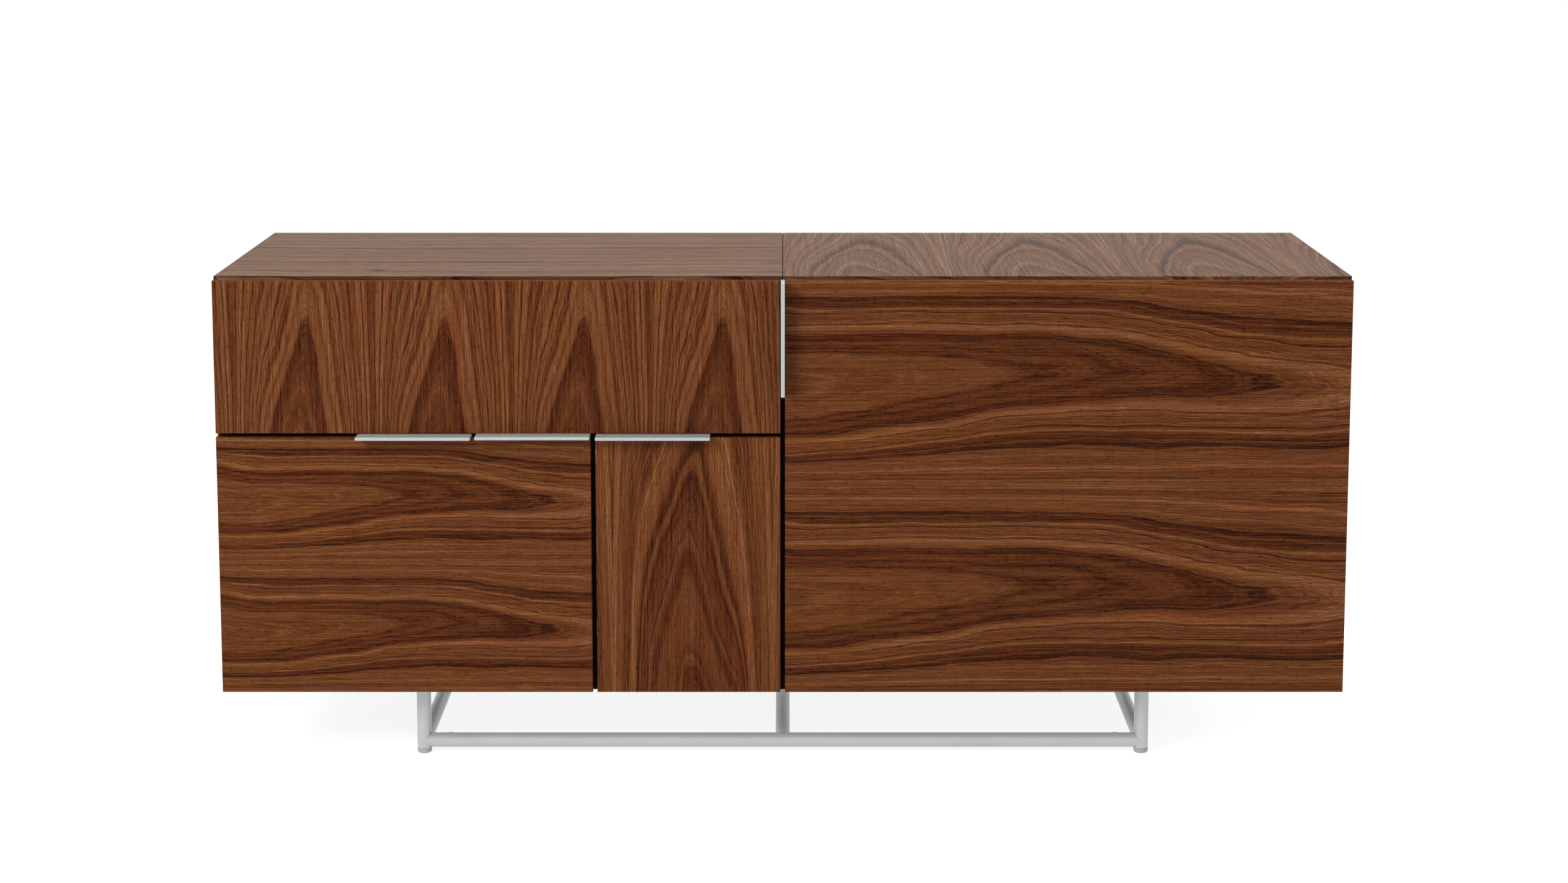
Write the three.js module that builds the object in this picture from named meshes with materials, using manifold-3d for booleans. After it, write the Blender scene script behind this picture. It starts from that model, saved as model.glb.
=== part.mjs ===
// Office credenza: walnut carcass with two drawers and two doors on a base of round tube.
// Millimetres, +Z up. The fronts face -Y. The origin is on the floor, under the middle of the whole.
import * as THREE from 'three';
import { mergeVertices } from 'three/addons/utils/BufferGeometryUtils.js';
import Module from 'manifold-3d';

const wasm = await Module();
wasm.setup();

// Overall size
const WIDTH = 1700;
const HEIGHT = 750;
const DEPTH = 560;
const CARCASS_LIFT = 115.5;

// Boards
const PANEL = 18;
const FRONT = 16;
const BACK = 8;
const BACK_GROOVE = 8;
const BACK_INSET = 14;
const TOP_SEAM = 1.4;
const TOP_SEAM_DEPTH = 6;
const ARRIS = 1;

// Fronts: the drop below the top surface, the gaps between them and the space behind them
const FRONT_DROP = 5;
const FRONT_SPACE = 1;
const ROW_GAP = 6.2;
const COLUMN_GAP = 7;
const TOP_DRAWER_FRONT_HEIGHT = 230.5;
const CENTRE_DOOR_WIDTH = 277.6;

// Bar pulls: PULL_REACH is how far each stands out from the fronts
const PULL_LENGTH = 171;
const PULL_REACH = 28;
const PULL_THICKNESS = 5;
const UPRIGHT_PULL_THICKNESS = 6;
const PULL_ARRIS = 0.7;
const TOP_PULL_EDGE = 0.4;
const PULL_GAP = 7;
const CENTRE_PULL_EDGE = 1.4;

// Base of round tube
const TUBE = 22;
const TUBE_WALL = 1.5;
const LEG_SPREAD = 1108;
const LEG_SETBACK = 58;
const GLIDE_HEIGHT = 8;
const GLIDE_EDGE = 2;
const STUD = 8;
const STUD_LENGTH = 24;
const PLUG_LENGTH = 20;
const PLATE = 60;
const PLATE_THICKNESS = 4;
const PLATE_CORNER = 6;
const PLATE_HOLE = 5.5;
const PLATE_HOLE_PITCH = 42;

// Drawer boxes
const BOX_SIDE = 12;
const BOX_BOTTOM = 6;
const BOX_BOTTOM_RAISE = 10;
const BOX_GROOVE = 5;
const BOX_BACK_SPACE = 41.8;
const TOP_BOX_HEIGHT = 150;
const FILE_BOX_HEIGHT = 250;
const BOX_FLOOR_GAP = 30;

// Telescopic runners: three nested channels in the space beside each drawer box
const RUNNER_SPACE = 12.7;
const RUNNER_HEIGHT = 45;
const RUNNER_WALL = 1.4;
const RUNNER_PLAY = 0.4;
const RUNNER_FRONT_GAP = 2;
const RUNNER_FLANGE_GAP = 2.2;

// Concealed hinges: the cup is let into the door, the arm is fixed to the panel beside it
const CUP = 35;
const CUP_DEPTH = 12.3;
const CUP_WALL = 1;
const CUP_FROM_EDGE = 22.5;
const EAR_LENGTH = 62;
const EAR_WIDTH = 14;
const EAR_OFFSET = 9.5;
const EAR_THICKNESS = 1;
const RIM_PROUD = 0.3;
const ARM_HEIGHT = 14;
const ARM_LENGTH = 62;
const NOSE_FROM_EDGE = 20;
const NOSE_WIDTH = 15;
const NOSE_REACH = 8.5;
const NOSE_RADIUS = 4;
const ARM_STEP = 11;
const ARM_PLATE_HEIGHT = 52;
const ARM_PLATE_LENGTH = 34;
const ARM_PLATE_THICKNESS = 2;
const CENTRE_HINGE_FROM_END = 80;
const RIGHT_HINGE_FROM_END = 90;

// Shelf behind the right door
const SHELF_HEIGHT = 424;
const SHELF_SETBACK = 30;
const SHELF_PLAY = 0.5;

// Gaps between pieces that meet, and facets of a half circle
const JOINT = 0.2;
const TUBE_JOINT = 0.3;
const BORE_PLAY = 0.3;
const HALF_CIRCLE = 24;

// Planes of the whole, worked out from the sizes above
const backY = (DEPTH + PULL_REACH) / 2;
const faceY = backY - DEPTH;
const frontBackY = faceY + FRONT;
const edgeY = frontBackY + FRONT_SPACE;
const sideX = WIDTH / 2;
const innerX = sideX - PANEL;
const floorZ = CARCASS_LIFT + PANEL;
const ceilingZ = HEIGHT - PANEL;
const frontTopZ = HEIGHT - FRONT_DROP;
const drawerFrontZ = frontTopZ - TOP_DRAWER_FRONT_HEIGHT;
const lowerFrontTopZ = drawerFrontZ - ROW_GAP;
const rowZ = (drawerFrontZ + lowerFrontTopZ) / 2;
const middleX = COLUMN_GAP / 2;
const centreDoorX = -middleX - CENTRE_DOOR_WIDTH;
const fileFrontX = centreDoorX - COLUMN_GAP;
const columnX = (centreDoorX + fileFrontX) / 2;
const topPullX = fileFrontX - TOP_PULL_EDGE - PULL_LENGTH;
const filePullX = topPullX - PULL_GAP - PULL_LENGTH;
const backPanelY = backY - BACK_INSET - BACK;
const boxBackY = backPanelY - BOX_BACK_SPACE;

function manifold(geometry) {
  const bare = geometry.clone();
  bare.deleteAttribute('normal');
  bare.deleteAttribute('uv');
  const merged = mergeVertices(bare, 1e-3);
  const corners = merged.index.array;
  const triangles = [];
  for (let i = 0; i < corners.length; i += 3) {
    const [a, b, c] = corners.slice(i, i + 3);
    if (a !== b && b !== c && c !== a) {
      triangles.push(a, b, c);
    }
  }
  return new wasm.Manifold(new wasm.Mesh({
    numProp: 3,
    vertProperties: new Float32Array(merged.attributes.position.array),
    triVerts: new Uint32Array(triangles),
  }));
}

function geometryOf(solid) {
  const mesh = solid.getMesh();
  const geometry = new THREE.BufferGeometry();
  geometry.setAttribute('position', new THREE.BufferAttribute(mesh.vertProperties, 3));
  geometry.setIndex(new THREE.BufferAttribute(mesh.triVerts, 1));
  geometry.computeVertexNormals();
  return geometry;
}

function cut(geometry, ...tools) {
  const left = tools.reduce((solid, tool) => solid.subtract(manifold(tool)), manifold(geometry));
  return geometryOf(left);
}

function join(geometry, ...others) {
  const whole = others.reduce((solid, other) => solid.add(manifold(other)), manifold(geometry));
  return geometryOf(whole);
}

// A box between two corners.
function block(low, high) {
  const size = high.map((value, axis) => value - low[axis]);
  const middle = high.map((value, axis) => (value + low[axis]) / 2);
  return new THREE.BoxGeometry(...size).translate(...middle);
}

function outline(points) {
  return new THREE.Shape(points.map(([x, y]) => new THREE.Vector2(x, y)));
}

// An XZ outline drawn out along Y.
function alongY(shape, y0, y1, options = {}) {
  const geometry = new THREE.ExtrudeGeometry(shape, { depth: y1 - y0, bevelEnabled: false, ...options });
  return geometry.rotateX(Math.PI / 2).translate(0, y1, 0);
}

// A board between two corners whose arrises are planed off all round, drawn out along one axis.
function board(low, high, arris, axis) {
  const [u, v] = [[1, 2], [2, 0], [0, 1]][axis];
  const shape = outline([
    [low[u] + arris, low[v] + arris],
    [high[u] - arris, low[v] + arris],
    [high[u] - arris, high[v] - arris],
    [low[u] + arris, high[v] - arris],
  ]);
  const geometry = new THREE.ExtrudeGeometry(shape, {
    depth: high[axis] - low[axis] - 2 * arris,
    bevelSize: arris,
    bevelThickness: arris,
    bevelSegments: 1,
  });
  geometry.translate(0, 0, low[axis] + arris);
  const basis = [new THREE.Vector3(), new THREE.Vector3(), new THREE.Vector3()];
  basis[0].setComponent(u, 1);
  basis[1].setComponent(v, 1);
  basis[2].setComponent(axis, 1);
  return geometry.applyMatrix4(new THREE.Matrix4().makeBasis(...basis));
}

// A round bar or, with a bore, a tube along Z.
function round(diameter, length, bore = 0) {
  const shape = new THREE.Shape().absarc(0, 0, diameter / 2, 0, 2 * Math.PI);
  if (bore > 0) {
    shape.holes.push(new THREE.Path().absarc(0, 0, bore / 2, 0, 2 * Math.PI, true));
  }
  return new THREE.ExtrudeGeometry(shape, { depth: length, bevelEnabled: false, curveSegments: HALF_CIRCLE });
}

function turned(points) {
  return new THREE.LatheGeometry(points.map(([r, h]) => new THREE.Vector2(r, h)), 2 * HALF_CIRCLE);
}

function finish(color, roughness, metalness) {
  return () => new THREE.MeshStandardMaterial({ color, roughness, metalness });
}

const walnut = finish(0x7a4a2c, 0.45, 0);
const darkBoard = finish(0x1c1512, 0.6, 0);
const drawerBoard = finish(0xb9a78c, 0.6, 0);
const aluminium = finish(0xb9babb, 0.35, 1);
const silverPaint = finish(0xb4b6b8, 0.4, 0.6);
const zincSteel = finish(0x9a9ca0, 0.35, 1);
const greyPlastic = finish(0x8c8e90, 0.6, 0);

const credenza = new THREE.Group();

function add(name, geometry, material) {
  const mesh = new THREE.Mesh(geometry, material());
  mesh.name = name;
  credenza.add(mesh);
}

// Carcass: the outer boards meet in mitres at the four corners and hold the back panel in a groove.
// The two boards of the top meet under a shallow open seam.
const mitre = JOINT / Math.SQRT2;
const seamFloorZ = HEIGHT - TOP_SEAM_DEPTH;
const backGroove = block(
  [-innerX - BACK_GROOVE, backPanelY - JOINT, floorZ - BACK_GROOVE],
  [innerX + BACK_GROOVE, backPanelY + BACK + JOINT, ceilingZ + BACK_GROOVE],
);

function carcassBoard(points) {
  return cut(alongY(outline(points), edgeY, backY), backGroove);
}

add('top_panel_left', carcassBoard([
  [-TOP_SEAM / 2, HEIGHT],
  [-sideX + mitre, HEIGHT],
  [-innerX + mitre, ceilingZ],
  [-JOINT / 2, ceilingZ],
  [-JOINT / 2, seamFloorZ],
  [-TOP_SEAM / 2, seamFloorZ],
]), walnut);
add('top_panel_right', carcassBoard([
  [TOP_SEAM / 2, HEIGHT],
  [TOP_SEAM / 2, seamFloorZ],
  [JOINT / 2, seamFloorZ],
  [JOINT / 2, ceilingZ],
  [innerX - mitre, ceilingZ],
  [sideX - mitre, HEIGHT],
]), walnut);
for (const [side, sign] of [['left', -1], ['right', 1]]) {
  add(`side_panel_${side}`, carcassBoard([
    [sign * sideX, HEIGHT - mitre],
    [sign * innerX, ceilingZ - mitre],
    [sign * innerX, floorZ + mitre],
    [sign * sideX, CARCASS_LIFT + mitre],
  ]), walnut);
}
add('bottom_panel', carcassBoard([
  [-sideX + mitre, CARCASS_LIFT],
  [sideX - mitre, CARCASS_LIFT],
  [innerX - mitre, floorZ],
  [-innerX + mitre, floorZ],
]), walnut);
add('back_panel', block(
  [-innerX - BACK_GROOVE + JOINT, backPanelY, floorZ - BACK_GROOVE + JOINT],
  [innerX + BACK_GROOVE - JOINT, backPanelY + BACK, ceilingZ + BACK_GROOVE - JOINT],
), walnut);

const insideBackY = backPanelY - JOINT;
add('centre_partition', block(
  [-PANEL / 2, edgeY, floorZ + JOINT],
  [PANEL / 2, insideBackY, ceilingZ - JOINT],
), darkBoard);
add('drawer_divider', block(
  [-innerX + JOINT, edgeY, rowZ - PANEL / 2],
  [-PANEL / 2 - JOINT, insideBackY, rowZ + PANEL / 2],
), darkBoard);
add('left_partition', block(
  [columnX - PANEL / 2, edgeY, floorZ + JOINT],
  [columnX + PANEL / 2, insideBackY, rowZ - PANEL / 2 - JOINT],
), darkBoard);
add('right_shelf', block(
  [PANEL / 2 + SHELF_PLAY, edgeY + SHELF_SETBACK, SHELF_HEIGHT],
  [innerX - SHELF_PLAY, insideBackY - SHELF_PLAY, SHELF_HEIGHT + PANEL],
), darkBoard);

// Base: a ring of tube low down, coped round the legs, with a rail across its middle.
const legX = LEG_SPREAD / 2;
const frontLegY = edgeY + LEG_SETBACK;
const rearLegY = backY - LEG_SETBACK;
const railZ = GLIDE_HEIGHT + TUBE / 2;
const legTopZ = CARCASS_LIFT - JOINT - PLATE_THICKNESS;
const bore = TUBE - 2 * TUBE_WALL;
const copeDiameter = TUBE + 2 * TUBE_JOINT;
const legPlaces = [
  ['front_left', -legX, frontLegY],
  ['front_right', legX, frontLegY],
  ['rear_left', -legX, rearLegY],
  ['rear_right', legX, rearLegY],
];

const legCopes = legPlaces.map(([, x, y]) => round(copeDiameter, 2 * TUBE)
  .translate(x, y, railZ - TUBE));

function crossTube(diameter, y, hole) {
  return round(diameter, LEG_SPREAD, hole).rotateY(Math.PI / 2).translate(-legX, y, railZ);
}

function depthTube(x) {
  return round(TUBE, rearLegY - frontLegY, bore).rotateX(-Math.PI / 2).translate(x, frontLegY, railZ);
}

const railCopes = [crossTube(copeDiameter, frontLegY, 0), crossTube(copeDiameter, rearLegY, 0)];
add('base_front_rail', cut(crossTube(TUBE, frontLegY, bore), ...legCopes), silverPaint);
add('base_rear_rail', cut(crossTube(TUBE, rearLegY, bore), ...legCopes), silverPaint);
add('base_left_rail', cut(depthTube(-legX), ...legCopes, ...railCopes), silverPaint);
add('base_right_rail', cut(depthTube(legX), ...legCopes, ...railCopes), silverPaint);
add('base_centre_rail', cut(depthTube(0), ...railCopes), silverPaint);

function fixingPlate() {
  const half = PLATE / 2;
  const corner = half - PLATE_CORNER;
  const shape = new THREE.Shape();
  shape.absarc(corner, corner, PLATE_CORNER, 0, Math.PI / 2);
  shape.absarc(-corner, corner, PLATE_CORNER, Math.PI / 2, Math.PI);
  shape.absarc(-corner, -corner, PLATE_CORNER, Math.PI, 1.5 * Math.PI);
  shape.absarc(corner, -corner, PLATE_CORNER, 1.5 * Math.PI, 2 * Math.PI);
  const pitch = PLATE_HOLE_PITCH / 2;
  for (const [x, y] of [[pitch, pitch], [-pitch, pitch], [-pitch, -pitch], [pitch, -pitch]]) {
    shape.holes.push(new THREE.Path().absarc(x, y, PLATE_HOLE / 2, 0, 2 * Math.PI, true));
  }
  return new THREE.ExtrudeGeometry(shape, { depth: PLATE_THICKNESS, bevelEnabled: false, curveSegments: 4 });
}

function leg() {
  const threadRadius = STUD / 2 + BORE_PLAY;
  const plugTop = GLIDE_HEIGHT + PLUG_LENGTH;
  const tube = turned([
    [threadRadius, GLIDE_HEIGHT],
    [TUBE / 2, GLIDE_HEIGHT],
    [TUBE / 2, legTopZ + PLATE_THICKNESS / 2],
    [bore / 2, legTopZ + PLATE_THICKNESS / 2],
    [bore / 2, plugTop],
    [threadRadius, plugTop],
    [threadRadius, GLIDE_HEIGHT],
  ]).rotateX(Math.PI / 2);
  return join(tube, fixingPlate().translate(0, 0, legTopZ));
}

function glide() {
  const topZ = GLIDE_HEIGHT - TUBE_JOINT;
  return turned([
    [0, 0],
    [TUBE / 2 - GLIDE_EDGE, 0],
    [TUBE / 2, GLIDE_EDGE],
    [TUBE / 2, topZ],
    [STUD / 2, topZ],
    [STUD / 2, topZ + STUD_LENGTH],
    [0, topZ + STUD_LENGTH],
  ]).rotateX(Math.PI / 2);
}

for (const [place, x, y] of legPlaces) {
  add(`leg_${place}`, leg().translate(x, y, 0), silverPaint);
  add(`glide_${place}`, glide().translate(x, y, 0), greyPlastic);
}

// Drawers: a box on two runners behind each front. The pull lies along one edge of its front.
function barPull(x0, z0) {
  return board(
    [x0, faceY - PULL_REACH, z0],
    [x0 + PULL_LENGTH, frontBackY, z0 + PULL_THICKNESS],
    PULL_ARRIS,
    2,
  );
}

// A channel along Y with its web at u0 and its flanges reaching to u1, seen from the front.
function channel(u0, u1, height) {
  const inward = Math.sign(u1 - u0) * RUNNER_WALL;
  const half = height / 2;
  return outline([
    [u0, -half],
    [u1, -half],
    [u1, -half + RUNNER_WALL],
    [u0 + inward, -half + RUNNER_WALL],
    [u0 + inward, half - RUNNER_WALL],
    [u1, half - RUNNER_WALL],
    [u1, half],
    [u0, half],
  ]);
}

// The three members of a runner, from the panel's face at x to the box, which lies towards sign.
function addRunner(prefix, side, x, z, sign) {
  const y0 = edgeY + RUNNER_FRONT_GAP;
  const step = 2 * (RUNNER_WALL + RUNNER_PLAY);
  const middleWeb = JOINT + RUNNER_WALL + RUNNER_PLAY;
  const drawerWeb = RUNNER_SPACE - JOINT;
  const sections = {
    cabinet: channel(JOINT, drawerWeb - RUNNER_FLANGE_GAP, RUNNER_HEIGHT),
    middle: channel(middleWeb, drawerWeb - RUNNER_WALL - RUNNER_PLAY, RUNNER_HEIGHT - step),
    drawer: channel(drawerWeb, middleWeb + RUNNER_FLANGE_GAP, RUNNER_HEIGHT - 2 * step),
  };
  for (const [member, section] of Object.entries(sections)) {
    const geometry = alongY(section, y0, boxBackY);
    const turnedRound = sign < 0 ? geometry.rotateZ(Math.PI).translate(0, y0 + boxBackY, 0) : geometry;
    add(`${prefix}_runner_${member}_${side}`, turnedRound.translate(x, 0, z), zincSteel);
  }
}

function addDrawer(prefix, bay, boxHeight, frontLow, frontHigh, pullX, pullZ) {
  add(`${prefix}_drawer_front`, board(frontLow, frontHigh, ARRIS, 1), walnut);
  add(`${prefix}_drawer_pull`, barPull(pullX, pullZ), aluminium);

  const left = bay.left + RUNNER_SPACE;
  const right = bay.right - RUNNER_SPACE;
  const y0 = frontBackY + JOINT;
  const z0 = bay.floor + BOX_FLOOR_GAP;
  const z1 = z0 + boxHeight;
  const grooveZ = z0 + BOX_BOTTOM_RAISE;
  for (const [side, x, sign] of [['left', left, 1], ['right', right, -1]]) {
    const inside = x + sign * BOX_SIDE;
    const groove = inside - sign * BOX_GROOVE;
    const section = outline([
      [x, z0],
      [inside, z0],
      [inside, grooveZ - JOINT],
      [groove, grooveZ - JOINT],
      [groove, grooveZ + BOX_BOTTOM + JOINT],
      [inside, grooveZ + BOX_BOTTOM + JOINT],
      [inside, z1],
      [x, z1],
    ]);
    add(`${prefix}_drawer_side_${side}`, alongY(section, y0, boxBackY), drawerBoard);
    addRunner(prefix, side, bay[side], z0 + boxHeight / 2, sign);
  }
  add(`${prefix}_drawer_back`, block(
    [left + BOX_SIDE + JOINT, boxBackY - BOX_SIDE, grooveZ + BOX_BOTTOM + JOINT],
    [right - BOX_SIDE - JOINT, boxBackY, z1],
  ), drawerBoard);
  add(`${prefix}_drawer_bottom`, block(
    [left + BOX_SIDE - BOX_GROOVE + JOINT, y0, grooveZ],
    [right - BOX_SIDE + BOX_GROOVE - JOINT, boxBackY, grooveZ + BOX_BOTTOM],
  ), drawerBoard);
}

addDrawer(
  'top',
  { left: -innerX, right: -PANEL / 2, floor: rowZ + PANEL / 2 },
  TOP_BOX_HEIGHT,
  [-sideX, faceY, drawerFrontZ],
  [-middleX, frontBackY, frontTopZ],
  topPullX,
  drawerFrontZ - JOINT - PULL_THICKNESS,
);
addDrawer(
  'file',
  { left: -innerX, right: columnX - PANEL / 2, floor: floorZ },
  FILE_BOX_HEIGHT,
  [-sideX, faceY, CARCASS_LIFT],
  [fileFrontX, frontBackY, lowerFrontTopZ],
  filePullX,
  lowerFrontTopZ + JOINT,
);

// Doors: each hangs at its right edge on two hinges. x is that edge and panelX the face that holds the arms.
function cupBore(x, z) {
  const depth = CUP_DEPTH + JOINT;
  return round(CUP, 2 * depth).rotateX(-Math.PI / 2).translate(x - CUP_FROM_EDGE, frontBackY - depth, z);
}

function hingeCup(x, z) {
  const radius = CUP / 2 - JOINT;
  const inside = radius - CUP_WALL;
  const rimY = frontBackY + RIM_PROUD;
  const floorY = frontBackY - CUP_DEPTH;
  const cup = turned([
    [0, floorY],
    [radius, floorY],
    [radius, rimY],
    [inside, rimY],
    [inside, floorY + CUP_WALL],
    [0, floorY + CUP_WALL],
  ]);
  const ears = block(
    [-EAR_OFFSET - EAR_WIDTH / 2, frontBackY + JOINT / 2, -EAR_LENGTH / 2],
    [-EAR_OFFSET + EAR_WIDTH / 2, frontBackY + JOINT / 2 + EAR_THICKNESS, EAR_LENGTH / 2],
  );
  const mouth = round(2 * inside, 2 * CUP).rotateX(-Math.PI / 2).translate(0, floorY + CUP_WALL, 0);
  return join(cup, cut(ears, mouth)).translate(x - CUP_FROM_EDGE, 0, z);
}

function hingeArm(x, panelX, z) {
  const noseRight = x - NOSE_FROM_EDGE;
  const noseLeft = noseRight - NOSE_WIDTH;
  const tipY = frontBackY - NOSE_REACH;
  const stepY = edgeY + ARM_STEP;
  const tailY = stepY + ARM_LENGTH;
  const plateX = panelX - JOINT - ARM_PLATE_THICKNESS;
  const shape = new THREE.Shape();
  shape.moveTo(noseRight, stepY - ARM_STEP / 2);
  shape.lineTo(noseRight, tipY + NOSE_RADIUS);
  shape.absarc(noseRight - NOSE_RADIUS, tipY + NOSE_RADIUS, NOSE_RADIUS, 0, -Math.PI / 2, true);
  shape.absarc(noseLeft + NOSE_RADIUS, tipY + NOSE_RADIUS, NOSE_RADIUS, -Math.PI / 2, -Math.PI, true);
  shape.lineTo(noseLeft, stepY);
  shape.lineTo(plateX - ARM_STEP, stepY + ARM_STEP);
  shape.lineTo(plateX - ARM_STEP, tailY);
  shape.lineTo(plateX + ARM_PLATE_THICKNESS / 2, tailY);
  shape.lineTo(plateX + ARM_PLATE_THICKNESS / 2, stepY);
  const arm = new THREE.ExtrudeGeometry(shape, { depth: ARM_HEIGHT, bevelEnabled: false, curveSegments: 4 });
  const plate = block(
    [plateX, tailY - ARM_PLATE_LENGTH, -ARM_PLATE_HEIGHT / 2],
    [plateX + ARM_PLATE_THICKNESS, tailY, ARM_PLATE_HEIGHT / 2],
  );
  return join(arm.translate(0, 0, -ARM_HEIGHT / 2), plate).translate(0, 0, z);
}

function addDoor(prefix, low, high, panelX, hingeFromEnd, pull) {
  const x = high[0];
  const heights = [['lower', low[2] + hingeFromEnd], ['upper', high[2] - hingeFromEnd]];
  const bores = heights.map(([, z]) => cupBore(x, z));
  add(`${prefix}_door_front`, cut(board(low, high, ARRIS, 1), ...bores), walnut);
  add(`${prefix}_door_pull`, pull, aluminium);
  for (const [place, z] of heights) {
    add(`${prefix}_hinge_cup_${place}`, hingeCup(x, z), zincSteel);
    add(`${prefix}_hinge_arm_${place}`, hingeArm(x, panelX, z), zincSteel);
  }
}

addDoor(
  'centre',
  [centreDoorX, faceY, CARCASS_LIFT],
  [-middleX, frontBackY, lowerFrontTopZ],
  -PANEL / 2,
  CENTRE_HINGE_FROM_END,
  barPull(centreDoorX + CENTRE_PULL_EDGE, lowerFrontTopZ + JOINT),
);
addDoor(
  'right',
  [middleX, faceY, CARCASS_LIFT],
  [sideX, frontBackY, frontTopZ],
  innerX,
  RIGHT_HINGE_FROM_END,
  board(
    [middleX - JOINT - UPRIGHT_PULL_THICKNESS, faceY - PULL_REACH, frontTopZ - PULL_LENGTH],
    [middleX - JOINT, frontBackY, frontTopZ],
    PULL_ARRIS,
    0,
  ),
);

export default credenza;
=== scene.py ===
"""Looks of the office credenza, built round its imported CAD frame. Metres, +Z up, the fronts face -Y."""
import math

import bmesh
import bpy
from mathutils import Matrix, Vector


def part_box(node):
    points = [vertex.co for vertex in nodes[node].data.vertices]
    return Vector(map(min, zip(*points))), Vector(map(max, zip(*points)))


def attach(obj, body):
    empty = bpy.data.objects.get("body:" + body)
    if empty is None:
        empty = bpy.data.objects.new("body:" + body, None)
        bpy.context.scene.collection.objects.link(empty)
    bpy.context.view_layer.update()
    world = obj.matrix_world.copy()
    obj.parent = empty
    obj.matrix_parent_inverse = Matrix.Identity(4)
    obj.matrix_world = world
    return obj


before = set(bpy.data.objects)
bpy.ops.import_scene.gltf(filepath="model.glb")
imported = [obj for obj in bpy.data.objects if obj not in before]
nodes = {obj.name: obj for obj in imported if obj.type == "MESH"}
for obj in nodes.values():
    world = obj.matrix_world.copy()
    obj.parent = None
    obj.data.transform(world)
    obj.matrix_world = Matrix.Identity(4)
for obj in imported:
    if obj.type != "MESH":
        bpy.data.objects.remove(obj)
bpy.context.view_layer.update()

X, Y, Z = (1, 0, 0), (0, 1, 0), (0, 0, 1)
LEFT, FRONT, DOWN = (-1, 0, 0), (0, -1, 0), (0, 0, -1)
WHITE = (1.0, 1.0, 1.0, 1.0)

# The photograph's viewpoint. Part of its lens shift is taken by tilting the camera down.
CAMERA_AT = (0.002, -4.666, 1.347)
CAMERA_PITCH = 8.31
CAMERA_LENS = 68.54
CAMERA_SENSOR = 36.0
CAMERA_SHIFT = -0.085

# Each lamp's place, the point that it is aimed at, its width and height, and its power
SOFTBOXES = {
    "key_softbox": ((-2.6, -3.4, 2.6), (0.0, 0.0, 0.45), (1.6, 1.6), 142.0),
    "fill_softbox": ((3.0, -3.2, 1.8), (0.0, 0.0, 0.45), (2.4, 1.8), 15.0),
    "side_softbox": ((4.0, 0.4, 1.7), (0.85, 0.0, 0.45), (1.6, 1.6), 50.0),
    "rear_softbox": ((0.8, 2.9, 4.2), (0.0, 0.2, 0.45), (2.0, 1.6), 70.0),
    "top_softbox": ((0.0, 0.6, 3.6), (0.0, 0.0, 0.5), (3.0, 1.6), 40.0),
}

# Strength of the sky and glow of the floor, for the rays that light other surfaces and where they are seen
SKY_LIGHTING = 0.55
SKY_SEEN = 1.0
FLOOR_GLOW_LIGHTING = 0.40
FLOOR_GLOW_SEEN = 0.815
FLOOR_REACH = 40.0

# Walnut from heartwood streak to the palest band, in 8-bit sRGB
WALNUT_TONES = [
    (0.00, (26, 9, 4)),
    (0.10, (49, 19, 6)),
    (0.28, (73, 34, 13)),
    (0.50, (92, 51, 25)),
    (0.72, (111, 67, 38)),
    (0.90, (128, 84, 53)),
    (1.00, (146, 101, 67)),
]

# Tone of the growth rings from the heart of a leaf outwards, in leaf widths along the heart line
CATHEDRAL = [
    (-1.0, 0.50), (0.6, 0.52), (1.05, 0.50), (1.22, 0.44), (1.36, 0.30), (1.45, 0.42), (1.60, 0.28),
    (1.72, 0.38), (2.05, 0.34), (2.27, 0.15), (2.42, 0.44), (2.62, 0.62), (2.85, 0.72), (3.05, 0.55),
    (3.3, 0.60), (3.5, 0.40), (3.75, 0.54), (4.0, 0.44), (4.3, 0.60), (4.6, 0.40), (4.85, 0.27),
    (5.3, 0.25), (5.7, 0.36), (6.0, 0.54), (6.35, 0.64), (6.7, 0.52), (7.1, 0.62), (7.5, 0.46),
    (8.0, 0.58),
]
NESTED = [
    (-1.0, 0.50), (0.35, 0.60), (0.62, 0.42), (0.79, 0.28), (0.86, 0.56), (0.92, 0.30), (1.06, 0.50),
    (1.30, 0.50), (1.42, 0.42), (1.50, 0.28), (1.62, 0.42), (1.85, 0.40), (2.03, 0.24), (2.13, 0.52),
    (2.21, 0.32), (2.40, 0.58), (2.70, 0.66), (2.95, 0.50), (3.2, 0.38), (3.45, 0.56), (3.8, 0.60),
    (4.1, 0.42), (4.5, 0.56), (4.9, 0.36), (5.3, 0.54), (6.0, 0.58), (7.0, 0.48), (8.0, 0.54),
]
POINTED = [
    (-1.0, 0.45), (1.2, 0.42), (1.45, 0.37), (1.60, 0.41), (1.72, 0.33), (1.85, 0.43), (1.97, 0.33),
    (2.10, 0.27), (2.27, 0.23), (2.35, 0.42), (2.44, 0.60), (2.54, 0.68), (2.63, 0.44), (2.72, 0.60),
    (2.82, 0.64), (2.93, 0.32), (3.05, 0.40), (3.18, 0.66), (3.32, 0.36), (3.45, 0.60), (3.58, 0.36),
    (3.75, 0.60), (3.90, 0.38), (4.05, 0.58), (4.20, 0.40), (4.34, 0.64), (4.48, 0.38), (4.62, 0.56),
    (4.76, 0.34), (4.90, 0.62), (5.1, 0.42), (5.4, 0.58), (6.0, 0.50), (8.0, 0.51),
]
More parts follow.
